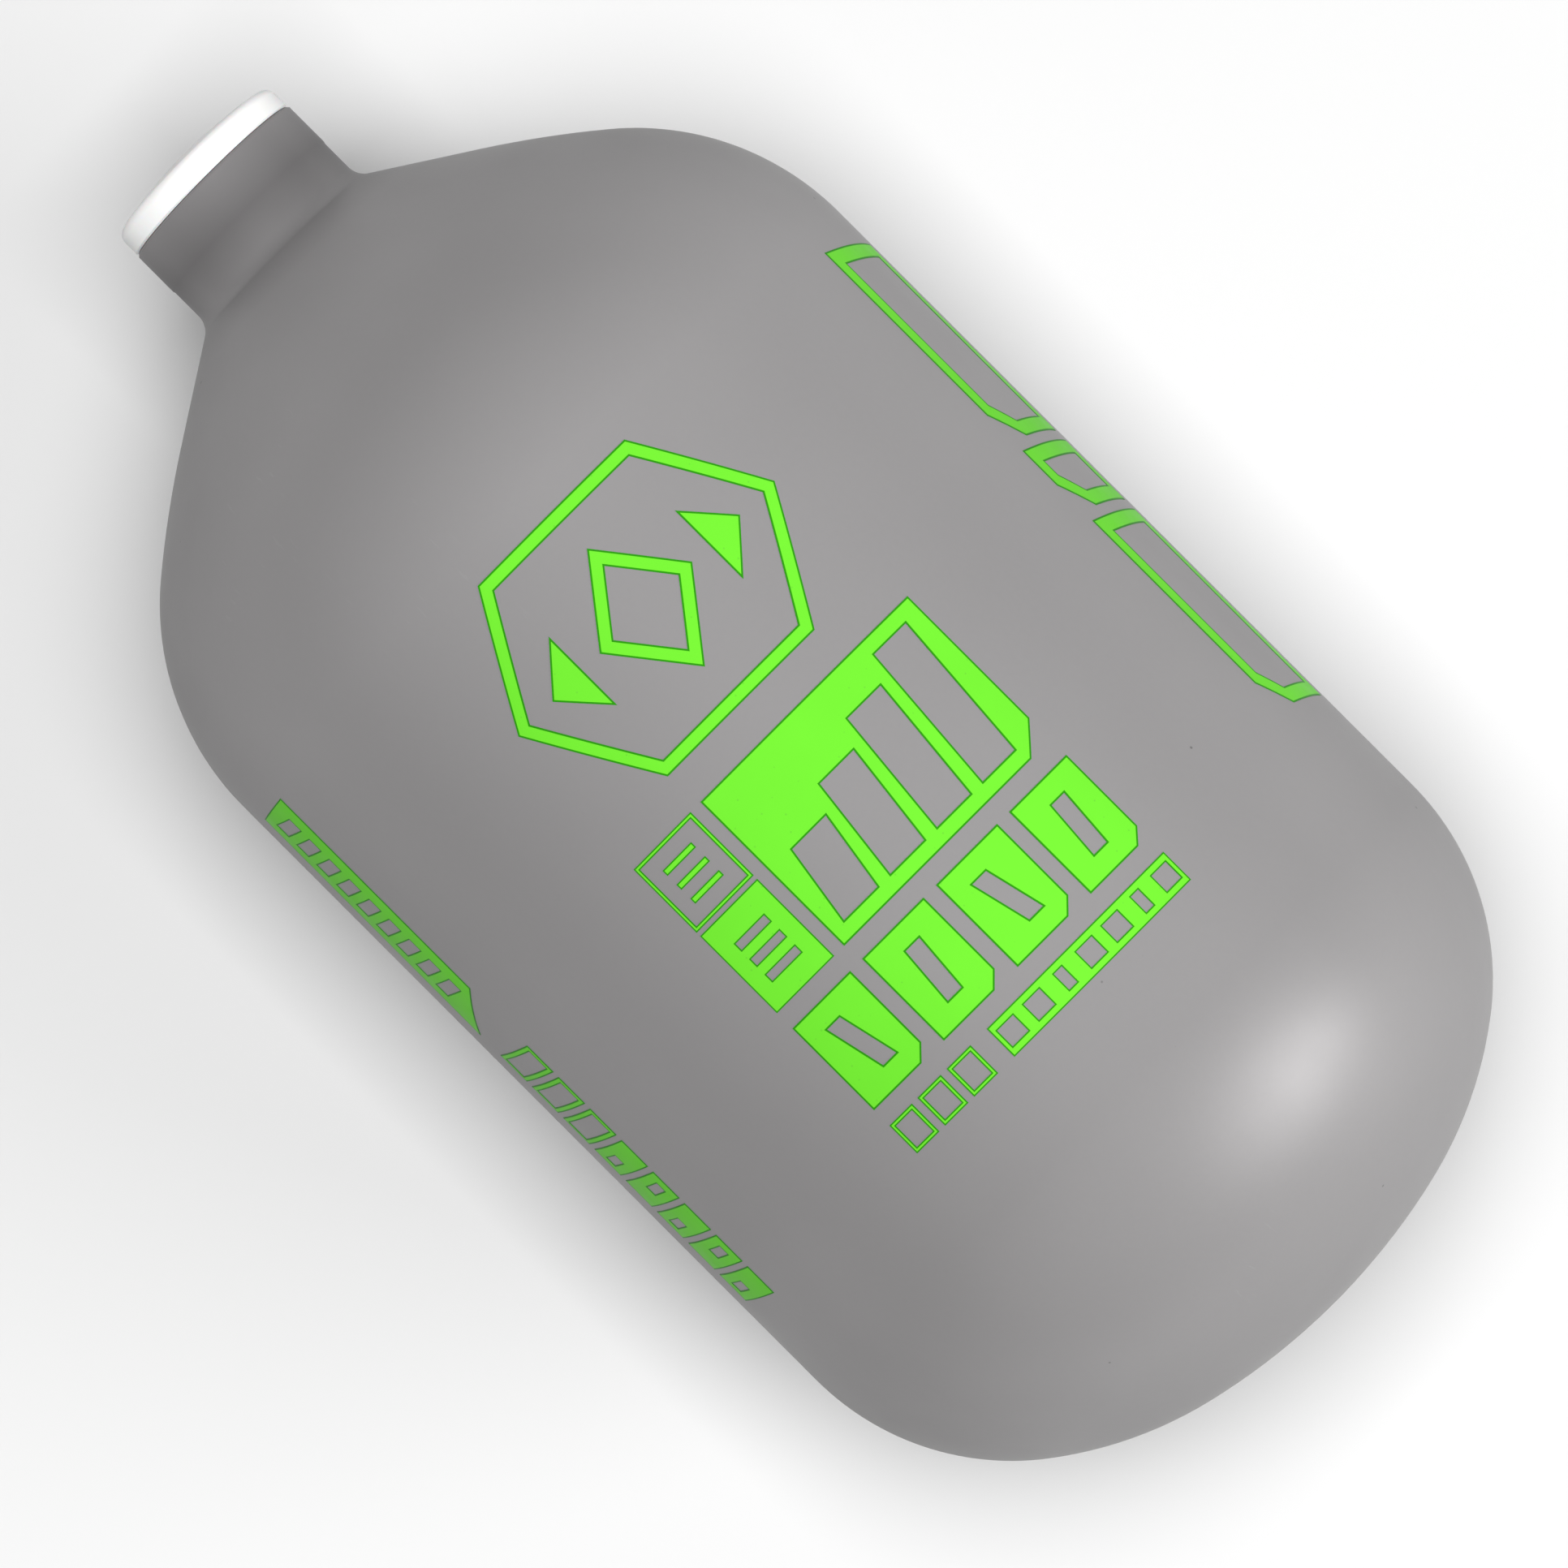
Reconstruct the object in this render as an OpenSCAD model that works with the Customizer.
// Carbon-wrapped compressed-air bottle, lying on its side.
// The bottle's axis runs along +X, from the neck (low X) to the closed base (high X).
// The printed side faces +Z and the round side touches the ground at Z = 0.
// Layer by layer: an aluminium liner, glass and carbon plies, a matte coat, printed
// films, and a threaded protector plug that screws out of the neck.

/* [Body] */
// Outside diameter of the body
body_d = 108.2; // [95:1:135]
// Length of the straight side
straight_len = 104.1; // [93:0.1:180]
// Radius of the knuckle where the shoulder leaves the side
shoulder_knuckle_r = 36.7; // [26:0.1:42]
// Angle through which that knuckle turns
shoulder_knuckle_turn = 50; // [40:0.5:54]
// Radius of the flatter middle of the shoulder
shoulder_middle_r = 138; // [90:1:200]
// Slope of the cone that meets the neck, from the axis
cone_slope = 57; // [55:0.5:62]
// Radius of the knuckle where the base leaves the side
base_knuckle_r = 35.4; // [26:0.1:44]
// Angle through which that knuckle turns
base_knuckle_turn = 52.5; // [40:0.5:60]
// Radius of the middle of the base
base_middle_r = 53; // [45:0.5:70]
// Angle at which the middle of the base meets its crown
base_crown_from = 76.5; // [70:0.5:82]

/* [Neck] */
// Outside diameter of the neck's collar
neck_d = 27.4; // [24:0.1:34]
// Length of the neck, from its face to the shoulder's cone
neck_len = 12.7; // [9:0.1:20]
// Length of the collar, the thicker end of the neck
collar_len = 6.7; // [4:0.1:8]
// Height of the step at the end of the collar
collar_step = 0.1; // [0.05:0.05:0.4]
// Radius of the fillet between neck and shoulder
neck_fillet_r = 3; // [1:0.5:5]
// Diameter of the threaded bore, over the crests of its thread
bore_d = 14.6; // [12:0.1:18]
// Depth of the bore's end, from the neck's face
bore_len = 22; // [20.5:0.5:28]
// Width of the ledge around the bore, on which the seal lies
seat_ledge = 1.6; // [1:0.1:2.5]
// Radius out to which the liner is thickened round the bore
boss_flare_r = 20; // [17:0.5:24]

/* [Layers] */
// Wall of the aluminium liner
liner_t = 1.1; // [0.8:0.05:2]
// Glass ply that keeps carbon off the aluminium
isolation_t = 0.3; // [0.2:0.05:0.6]
// Inner hoop ply, wound round the straight side
inner_hoop_t = 1.3; // [0.8:0.05:2]
// Inner helical ply over that hoop ply
inner_helical_t = 1.1; // [0.6:0.05:2]
// Outer hoop ply
outer_hoop_t = 1; // [0.6:0.05:2]
// Outer helical ply over that hoop ply
outer_helical_t = 0.8; // [0.5:0.05:2]
// Outer glass ply, which takes the knocks
glass_t = 0.3; // [0.2:0.05:0.6]
// Matte coat
coat_t = 0.12; // [0.08:0.02:0.3]
// Length over which the ends of a hoop ply run out
hoop_run_out = 4; // [2:0.5:10]

/* [Plug] */
// Length of the plug's threaded shank
shank_len = 11; // [8:0.5:12.5]
// Height of the plug's head above the neck's face
head_h = 4.9; // [3.5:0.1:8]
// Radius of the low crown on the head
head_crown_r = 70; // [40:1:120]
// Radius of the head's rounded edge
head_edge_r = 1.4; // [0.8:0.1:2]
// How much smaller the head's radius is than the collar's
head_inset = 0.1; // [0.05:0.05:0.5]
// Thickness of the seal under the head
seal_t = 1.8; // [1:0.1:2.4]

/* [Fits] */
// Radial clearance of the shank in the bore
shank_gap = 0.08; // [0.02:0.02:0.1]
// Gap all round the seal in its seat, and between the head and the neck
seal_gap = 0.1; // [0.05:0.05:0.3]

/* [Print] */
// Thickness of the printed films
ink_t = 0.08; // [0.04:0.02:0.2]
// Width of the front column of print, measured round the body
column_w = 50; // [40:1:60]
// Turn of the front column away from straight up
column_turn = 0.5; // [-5:0.5:5]
// Distance from the shoulder's edge to the print
print_inset = 3.5; // [1:0.1:4]
// Length of the emblem
emblem_len = 33.5; // [25:0.5:40]
// Width of the emblem
emblem_w = 46.5; // [30:0.5:50]
// Line width of the large outlined marks
bold_line = 1.9; // [1:0.1:3]
// Line width of the small outlined marks
fine_line = 0.6; // [0.4:0.1:1]
// Gap between the emblem and the capacity panel
emblem_gap = 5.1; // [3:0.1:8]
// Length of the capacity panel
panel_len = 25.3; // [20:0.1:30]
// Width of the unit label beside it
unit_w = 10.8; // [8:0.1:14]
// Gap between marks that stand side by side
mark_gap = 1.8; // [1:0.1:3]
// Gap between rows of print
row_gap = 2.7; // [1.5:0.1:4]
// Length of the row of pressure marks
pressure_len = 14.4; // [10:0.1:18]
// Number of pressure marks
pressure_count = 4; // [2:1:6]
// Length of the last row of print
strip_len = 4.9; // [3:0.1:8]
// Width of the grade marks, the first part of that row
grade_w = 14.3; // [10:0.1:20]
// Number of grade marks
grade_count = 3; // [2:1:4]
// Line width of the right-hand marks
side_line = 2.5; // [1:0.1:3]
// Width of the right-hand marks, measured round the body
right_w = 18.5; // [16:0.5:30]
// How far the right-hand marks lean toward the base
right_lean = 2.5; // [0:0.1:5]
// Cut corner of the right-hand marks
right_cut = 4.6; // [0:0.1:5]
// Length of the short right-hand mark
right_short_len = 10.8; // [10:0.1:14]
// Length of the right-hand marks together
right_len = 84.2; // [60:0.1:86]
// Gap between outlined marks that follow each other
outline_gap = 1.7; // [0.8:0.1:2]
// Angle of the middle of the right-hand marks
right_turn = 73; // [65:0.5:90]
// Width of the left-hand marks
left_w = 11.5; // [8:0.1:14]
// Length of the left-hand strip
left_strip_len = 39; // [30:0.5:50]
// Length of the point of the left-hand strip
left_point_len = 4.9; // [3:0.1:12]
// How far the left-hand marks lean toward the base
left_lean = 1.7; // [0:0.1:3]
// Angle of the middle of the left-hand marks
left_turn = -72; // [-80:0.5:-65]
// Length of the rear label
label_len = 58; // [40:1:65]
// Width of the rear label, measured round the body
label_w = 42; // [30:1:60]

/* [Hidden] */
$fn = 96;

body_r = body_d / 2;
collar_r = neck_d / 2;
stem_r = collar_r - collar_step;
boss_r = stem_r - coat_t;
bore_r = bore_d / 2;
head_r = collar_r - head_inset;
seat_depth = seal_t + 2 * seal_gap;

// Depth below the outer surface at which each layer starts
glass_in = coat_t + glass_t;
outer_helical_in = glass_in + outer_helical_t;
outer_in = outer_helical_in + outer_hoop_t;
inner_helical_in = outer_in + inner_helical_t;
inner_in = inner_helical_in + inner_hoop_t;
isolation_in = inner_in + isolation_t;
liner_in = isolation_in + liner_t;

// Half-section of the outside, as [radius, distance from the neck's face]
function toward_neck(a) = [cos(a), -sin(a)];
function toward_base(a) = [cos(a), sin(a)];
shoulder_arc_r = body_r - shoulder_knuckle_r * (1 - cos(shoulder_knuckle_turn));
cone_top_r = shoulder_arc_r - shoulder_middle_r * (cos(shoulder_knuckle_turn) - cos(cone_slope));
side_from = neck_len + (cone_top_r - collar_r) / tan(cone_slope)
    + shoulder_middle_r * (sin(cone_slope) - sin(shoulder_knuckle_turn))
    + shoulder_knuckle_r * sin(shoulder_knuckle_turn);
side_to = side_from + straight_len;
knuckle_c = [body_r - shoulder_knuckle_r, side_from];
knuckle_end = knuckle_c + shoulder_knuckle_r * toward_neck(shoulder_knuckle_turn);
middle_c = knuckle_end - shoulder_middle_r * toward_neck(shoulder_knuckle_turn);
cone_end = middle_c + shoulder_middle_r * toward_neck(cone_slope);
base_knuckle_c = [body_r - base_knuckle_r, side_to];
base_knuckle_end = base_knuckle_c + base_knuckle_r * toward_base(base_knuckle_turn);
base_middle_c = base_knuckle_end - base_middle_r * toward_base(base_knuckle_turn);
base_middle_end = base_middle_c + base_middle_r * toward_base(base_crown_from);
crown_r = base_middle_end.x / cos(base_crown_from);
crown_c = base_middle_end - crown_r * toward_base(base_crown_from);
base_to = crown_c.y + crown_r;

whole_len = base_to + head_h;

// A slice of a circle between two directions, for arcs in the half-section
module slice(centre, radius, from, to) {
    intersection() {
        translate(centre) circle(r = radius);
        polygon([centre, centre + 2 * radius * from, centre + 2 * radius * to]);
    }
}

// Half-section of the body, a distance d below its outer surface
module body_section(d) {
    knuckle_in = knuckle_end - d * toward_neck(shoulder_knuckle_turn);
    cone_in = cone_end - d * toward_neck(cone_slope);
    base_knuckle_at = base_knuckle_end - d * toward_base(base_knuckle_turn);
    base_middle_at = base_middle_end - d * toward_base(base_crown_from);
    intersection() {
        translate([0, -whole_len]) square([body_d, 3 * whole_len]);
        union() {
            polygon([
                [0, cone_in.y - cone_in.x / tan(cone_slope)], cone_in, knuckle_in,
                [body_r - d, side_from], [body_r - d, side_to],
                base_knuckle_at, base_middle_at, [0, base_middle_at.y]
            ]);
            slice(knuckle_c, shoulder_knuckle_r - d, [1, 0], toward_neck(shoulder_knuckle_turn));
            slice(middle_c, shoulder_middle_r - d,
                  toward_neck(shoulder_knuckle_turn), toward_neck(cone_slope));
            slice(base_knuckle_c, base_knuckle_r - d, [1, 0], toward_base(base_knuckle_turn));
            slice(base_middle_c, base_middle_r - d,
                  toward_base(base_knuckle_turn), toward_base(base_crown_from));
            slice(crown_c, crown_r - d, toward_base(base_crown_from), [0, 1]);
        }
    }
}

// Half-section of the fillet that blends the neck into the cone, d below the surface
module fillet_section(d) {
    reach = neck_fillet_r * tan(cone_slope / 2);
    corner = [stem_r - d, neck_len - collar_step / tan(cone_slope) + d * tan(cone_slope / 2)];
    hollow = corner + [neck_fillet_r + d, -(neck_fillet_r + d) * tan(cone_slope / 2)];
    blend = (neck_fillet_r + d) * tan(cone_slope / 2);
    difference() {
        polygon([
            corner - [0, blend], hollow, corner + blend * [sin(cone_slope), cos(cone_slope)],
            corner + [0, reach]
        ]);
        translate(hollow) circle(r = neck_fillet_r + d);
    }
}

// Half-section of the whole bottle with its neck, d below the surface
module outside_section(d) {
    body_section(d);
    square([collar_r - d, collar_len]);
    square([stem_r - d, neck_len + boss_flare_r / tan(cone_slope)]);
    fillet_section(d);
}

// A layer between two depths, open where the neck's boss passes through it
module ply_section(outer, inner) {
    difference() {
        body_section(outer);
        body_section(inner);
        square([boss_r, side_from]);
    }
}

// A hoop ply lies on the straight side only, and its ends run out
module hoop_section(outer, inner) {
    polygon([
        [body_r - inner, side_from], [body_r - outer, side_from + hoop_run_out],
        [body_r - outer, side_to - hoop_run_out], [body_r - inner, side_to]
    ]);
}

// The space for gas, up to the thickened end of the bore
module gas_section() {
    cone_in = cone_end - liner_in * toward_neck(cone_slope);
    difference() {
        body_section(liner_in);
        polygon([
            [0, 0], [0, bore_len], [bore_r + liner_t, bore_len],
            [boss_flare_r, cone_in.y - (cone_in.x - boss_flare_r) / tan(cone_slope)], [boss_flare_r, 0]
        ]);
    }
}

// Lays a piece made along its own axis down on the ground, print side up
module laid() {
    translate([-(base_to - head_h) / 2, 0, body_r]) rotate([0, 90, 0]) rotate([0, 0, 180])
        children();
}

module turned() {
    laid() rotate_extrude() children();
}

// A mark whose far side lies further toward the base, and the same with a corner cut off
function slanted(x, d, w, length, lean) =
    [[x, d], [x + w, d + lean], [x + w, d + length + lean], [x, d + length]];
function cut_slanted(x, d, w, length, lean, cut) =
    [[x, d], [x + w, d + lean], [x + w, d + length + lean],
     [x + cut, d + length + lean * cut / w], [x, d + length - cut]];

// Print: outlines are [distance round the body, distance from the neck's face]
function round_body(p) = [-body_r * sin(p.x / body_r * 180 / PI), p.y];
function unit(v) = v / norm(v);
function inward(a, b) = let (v = unit(b - a)) [-v.y, v.x];
// A convex outline moved in by d; its points run anticlockwise
function shrunk(pts, d) = [
    for (i = [0:len(pts) - 1])
        let (
            n1 = inward(pts[(i + len(pts) - 1) % len(pts)], pts[i]),
            n2 = inward(pts[i], pts[(i + 1) % len(pts)])
        ) pts[i] + d * (n1 + n2) / (1 + n1 * n2)
];
// An upright box, and one whose far edge is shifted by lean
function leaning(x, y, w, h, lean) = [
    [x, y], [x + w, y], [x + w + lean, y + h], [x + lean, y + h]
];
function box(x, y, w, h) = leaning(x, y, w, h, 0);
// A box with its last corner cut off
function notched(x, y, w, h, cut) = [
    [x, y], [x + w, y], [x + w, y + h - cut], [x + w - cut, y + h], [x, y + h]
];

module mark(pts) {
    polygon([for (p = pts) round_body(p)]);
}

module outlined(pts, line) {
    difference() {
        mark(pts);
        mark(shrunk(pts, line));
    }
}

// Wraps marks on the body as a film, centred on an angle round it
module film(turn) {
    laid() rotate([0, 0, -turn]) intersection() {
        difference() {
            translate([0, 0, side_from]) cylinder(r = body_r + ink_t, h = straight_len);
            translate([0, 0, side_from - 1]) cylinder(r = body_r, h = straight_len + 2);
        }
        rotate([90, 0, 90]) linear_extrude(height = body_r + 2 * ink_t) children();
    }
}

column_from = -column_w / 2;
print_from = side_from + print_inset;
panel_from = print_from + emblem_len + emblem_gap;
pressure_from = panel_from + panel_len + row_gap;
strip_from = pressure_from + pressure_len + row_gap;
print_to = strip_from + strip_len;
panel_x = column_from + unit_w + mark_gap;
panel_w = column_w - unit_w - mark_gap;
strip_x = column_from + grade_w + 2 * mark_gap;
strip_w = column_w / 2 - strip_x;
left_strip_to = print_from + left_strip_len;
left_marks_from = left_strip_to + 2 * mark_gap;

module liner() {
    color("silver") turned() difference() {
        union() {
            body_section(isolation_in);
            square([collar_r - coat_t, collar_len]);
            square([boss_r, bore_len]);
        }
        gas_section();
        translate([0, -1]) square([bore_r, bore_len + 2]);
        translate([0, -1]) square([bore_r + seat_ledge, seat_depth + 1]);
    }
}

module isolation_ply() {
    color("gainsboro") turned() ply_section(inner_in, isolation_in);
}

module inner_hoop_ply() {
    color("#2b2b2e") turned() hoop_section(inner_helical_in, inner_in);
}

module inner_helical_ply() {
    color("#333338") turned() difference() {
        ply_section(outer_in, inner_in);
        hoop_section(inner_helical_in, inner_in);
    }
}

module outer_hoop_ply() {
    color("#2b2b2e") turned() hoop_section(outer_helical_in, outer_in);
}

module outer_helical_ply() {
    color("#333338") turned() difference() {
        ply_section(glass_in, outer_in);
        hoop_section(outer_helical_in, outer_in);
    }
}

// The outer glass ply also fills the fillet at the neck
module glass_ply() {
    color("lightgrey") turned() difference() {
        union() {
            body_section(coat_t);
            fillet_section(coat_t);
        }
        body_section(glass_in);
        square([boss_r, side_from]);
    }
}

module rear_window() {
    laid() rotate([0, 0, 180]) rotate([90, 0, 90]) linear_extrude(height = body_r + 1) children();
}

module rear_outline(grow) {
    mark(box(-label_w / 2 - grow, (side_from + side_to - label_len) / 2 - grow,
             label_w + 2 * grow, label_len + 2 * grow));
}

// The coat covers body and neck, and leaves a window for the rear label
module finish_coat() {
    color("#a5a3a4") difference() {
        turned() difference() {
            outside_section(0);
            outside_section(coat_t);
        }
        rear_window() rear_outline(0);
    }
}

// The rear label fills its window, flush with the coat
module spec_label() {
    color("#d8d8d6") intersection() {
        turned() translate([body_r - coat_t, side_from]) square([coat_t, straight_len]);
        rear_window() rear_outline(-seal_gap);
    }
}

// Emblem: a long hexagon with a diamond and two solid wings inside it.
// The flat sides and the figures inside are shares of the emblem's half width and length.
module emblem_print() {
    half_w = emblem_w / 2;
    half_l = emblem_len / 2;
    flat = 0.56 * half_w;
    diamond = [0.35 * half_w, 0.62 * half_l];
    wing_tip = 0.72 * half_w;
    wing_back = [0.48 * half_w, 0.36 * half_l];
    mid = print_from + half_l;
    color("#7cf93c") film(column_turn) {
        outlined([
            [-half_w, mid], [-flat, mid - half_l], [flat, mid - half_l],
            [half_w, mid], [flat, mid + half_l], [-flat, mid + half_l]
        ], bold_line);
        outlined([
            [-diamond.x, mid], [0, mid - diamond.y], [diamond.x, mid], [0, mid + diamond.y]
        ], bold_line);
        for (side = [-1, 1]) mark([
            [side * wing_tip, mid], [side * wing_back.x, mid - wing_back.y],
            [side * wing_back.x, mid + wing_back.y]
        ]);
    }
}

// Three short bars, one pitch apart
module three_bars(x, y, w, h, pitch) {
    for (i = [0:2]) mark(box(x, y + pitch * i, w, h));
}

// Unit label: an outlined half with three bars, and a solid half with three slots
module unit_print() {
    outlined_len = 0.44 * panel_len;
    solid_len = panel_len - outlined_len - fine_line;
    solid_from = panel_from + outlined_len + fine_line;
    bar_x = column_from + unit_w / 4;
    bar_w = unit_w / 2;
    color("#7cf93c") film(column_turn) {
        outlined(box(column_from, panel_from, unit_w, outlined_len), fine_line);
        three_bars(bar_x, panel_from + 0.24 * outlined_len, bar_w, 1.5 * fine_line, 0.22 * outlined_len);
        difference() {
            mark(box(column_from, solid_from, unit_w, solid_len));
            three_bars(bar_x, solid_from + 0.28 * solid_len, bar_w, 1.8 * fine_line, 0.2 * solid_len);
        }
    }
}

// Capacity panel: four leaning bars that grow by a step, cut out of a solid block
module capacity_print() {
    bars = 4;
    edge = 1.2 * bold_line;
    pitch = (panel_w - 2 * edge) / bars;
    tallest = panel_len - 2 * edge;
    step = 0.16 * tallest;
    bar_foot = panel_from + panel_len - edge;
    lean = 0.9 * bold_line;
    color("#7cf93c") film(column_turn) difference() {
        mark(notched(panel_x, panel_from, panel_w, panel_len, 2 * bold_line));
        for (i = [0:bars - 1]) {
            bar_len = tallest - step * (bars - 1 - i);
            mark(leaning(panel_x + edge + lean + pitch * i, bar_foot - bar_len,
                         pitch - edge, bar_len, -lean));
        }
    }
}

// Pressure marks: solid blocks with a cut corner, whose slots lean by turns
module pressure_print() {
    block_gap = 1.2 * mark_gap;
    pitch = (column_w + block_gap) / pressure_count;
    block_w = pitch - block_gap;
    slot = [0.22 * block_w, 0.56 * pressure_len];
    slot_from = pressure_from + (pressure_len - slot.y) / 2;
    color("#7cf93c") film(column_turn) for (i = [0:pressure_count - 1]) {
        block_x = column_from + pitch * i;
        lean = i % 2 == 0 ? 0.18 * block_w : -0.06 * block_w;
        difference() {
            mark(notched(block_x, pressure_from, block_w, pressure_len, bold_line));
            mark(leaning(block_x + (block_w - slot.x - lean) / 2, slot_from, slot.x, slot.y, lean));
        }
    }
}

module grade_print() {
    pitch = (grade_w + mark_gap) / grade_count;
    mark_w = pitch - 0.6 * mark_gap;
    color("#7cf93c") film(column_turn) for (i = [0:grade_count - 1])
        outlined(box(column_from + pitch * i, strip_from, mark_w, strip_len), fine_line);
}

// Weight strip: a solid strip with seven slots, every third one narrow
module weight_print() {
    slots = 7;
    end = 1.2 * mark_gap;
    pitch = (strip_w - 2 * end) / (slots - 1);
    slot_len = 0.56 * strip_len;
    slot_from = strip_from + (strip_len - slot_len) / 2;
    color("#7cf93c") film(column_turn) difference() {
        mark(box(strip_x, strip_from, strip_w, strip_len));
        for (i = [0:slots - 1]) {
            slot_w = (i % 3 == 2 ? 0.3 : 0.6) * pitch;
            mark(box(strip_x + end + pitch * i - slot_w / 2, slot_from, slot_w, slot_len));
        }
    }
}

// Right-hand marks: a long, a short and a long outline, each with a cut corner
module right_side_print() {
    long_len = (right_len - right_lean - right_short_len - 2 * outline_gap) / 2;
    short_from = long_len + outline_gap;
    starts = [0, short_from, short_from + right_short_len + outline_gap];
    lengths = [long_len, right_short_len, long_len];
    color("#5fd826") film(right_turn) for (i = [0:2])
        outlined(cut_slanted(-right_w / 2, print_from + starts[i], right_w, lengths[i],
                             right_lean, right_cut), side_line);
}

// Left strip: solid with nine slots, pointed at the base end
module left_strip_print() {
    slots = 9;
    half_w = left_w / 2;
    pitch = (left_strip_len - left_point_len - mark_gap) / slots;
    slot = [0.5 * left_w, 0.55 * pitch];
    color("#5fd826") film(left_turn) difference() {
        mark([
            [-half_w, print_from], [half_w, print_from],
            [half_w, left_strip_to - left_point_len], [-half_w, left_strip_to]
        ]);
        for (i = [0:slots - 1])
            mark(slanted(-slot.x / 2, print_from + mark_gap + pitch * i, slot.x, slot.y, left_lean / 2));
    }
}

// Left-hand marks: three slanted outlines, then five solid marks with a slot to either side by turns
module left_side_print() {
    count = 8;
    outlines = 3;
    gap = mark_gap / 2;
    pitch = (print_to - left_marks_from - left_lean + gap) / count;
    mark_len = pitch - gap;
    slot = [0.34 * left_w, 0.3 * mark_len];
    color("#5fd826") film(left_turn) for (i = [0:count - 1]) {
        from = left_marks_from + pitch * i;
        outline = slanted(-left_w / 2, from, left_w, mark_len, left_lean);
        aside = (i % 2 == 0 ? 0.5 : 0.16) * left_w;
        if (i < outlines) outlined(outline, 1.4 * fine_line);
        else difference() {
            mark(outline);
            mark(slanted(aside - left_w / 2, from + (mark_len - slot.y) / 2 + left_lean * aside / left_w,
                         slot.x, slot.y, left_lean * slot.x / left_w));
        }
    }
}

// The seal lies in the counterbore, under the plug's head
module plug_seal() {
    color("#222222") turned() translate([bore_r + seal_gap, seat_depth - seal_gap - seal_t])
        square([seat_ledge - 2 * seal_gap, seal_t]);
}

// The head's rounded edge runs into its low crown. The shank is plain, over its thread's crests.
module protector_plug() {
    lean = asin((head_r - head_edge_r) / (head_crown_r - head_edge_r));
    toward_edge = [sin(lean), -cos(lean)];
    crown_centre = [0, head_crown_r - head_h];
    crown_end = crown_centre + head_crown_r * toward_edge;
    edge_centre = crown_end - head_edge_r * toward_edge;
    shank_r = bore_r - shank_gap;
    color("white") turned() {
        intersection() {
            translate(crown_centre) circle(r = head_crown_r);
            translate([0, -head_h]) square([crown_end.x, head_h - seal_gap]);
        }
        slice(edge_centre, head_edge_r, toward_edge, [1, 0]);
        polygon([
            [0, edge_centre.y], [head_r, edge_centre.y], [head_r, -seal_gap],
            [shank_r, -seal_gap], [shank_r, shank_len], [0, shank_len]
        ]);
    }
}

liner();
isolation_ply();
inner_hoop_ply();
inner_helical_ply();
outer_hoop_ply();
outer_helical_ply();
glass_ply();
finish_coat();
spec_label();
emblem_print();
unit_print();
capacity_print();
pressure_print();
grade_print();
weight_print();
right_side_print();
left_strip_print();
left_side_print();
plug_seal();
protector_plug();
